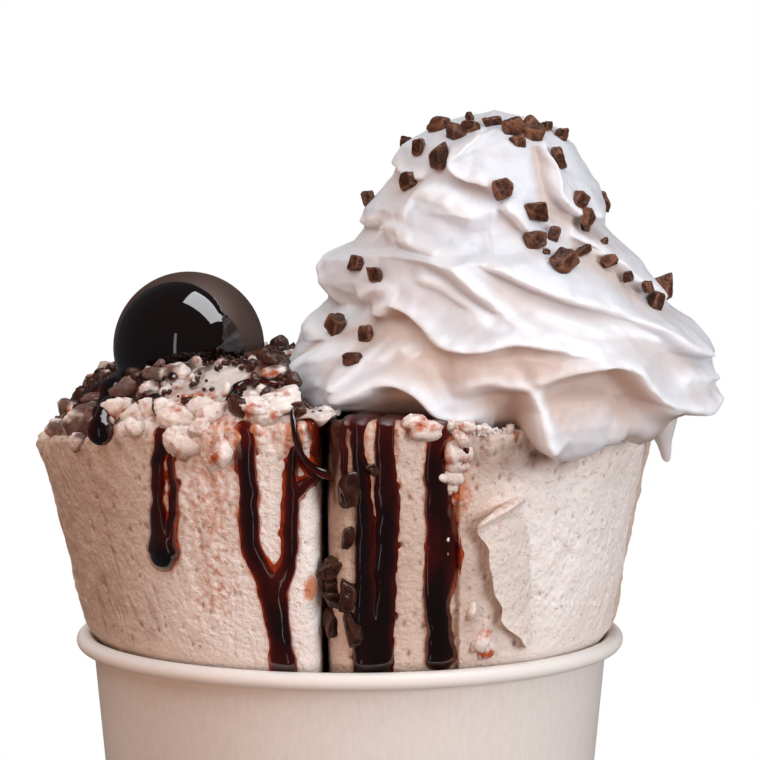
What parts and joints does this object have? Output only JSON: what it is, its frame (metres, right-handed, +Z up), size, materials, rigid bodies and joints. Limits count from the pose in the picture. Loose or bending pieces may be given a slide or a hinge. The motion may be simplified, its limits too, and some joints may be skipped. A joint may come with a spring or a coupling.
{
  "type": "rolled ice cream in a paper cup",
  "caption": "Paper cup filled with upright ice-cream rolls that flare out above its rim, topped with a crumble heap, a chocolate ball and a folded whipped-cream swirl with chocolate pieces.",
  "frame": {"origin": "bottom centre of the whole's box, on the plane that the cup stands on", "axes": "+Z up along the cup's axis, -Y towards the side with the sauce runs, +X towards the whipped cream"},
  "size_m": [0.1188, 0.1108, 0.1694],
  "materials": {
    "cup_paper": "smooth coated white paperboard",
    "ice_cream": null,
    "cream": null,
    "crumble": null,
    "chocolate": null
  },
  "bodies": {
    "root": {"paper_cup": "cup_paper", "roll_left": "ice_cream", "roll_right": "ice_cream", "roll_back": "ice_cream", "crumble_heap": "crumble", "whipped_cream": "cream", "chocolate_ball": "chocolate"}
  },
  "joints": []
}
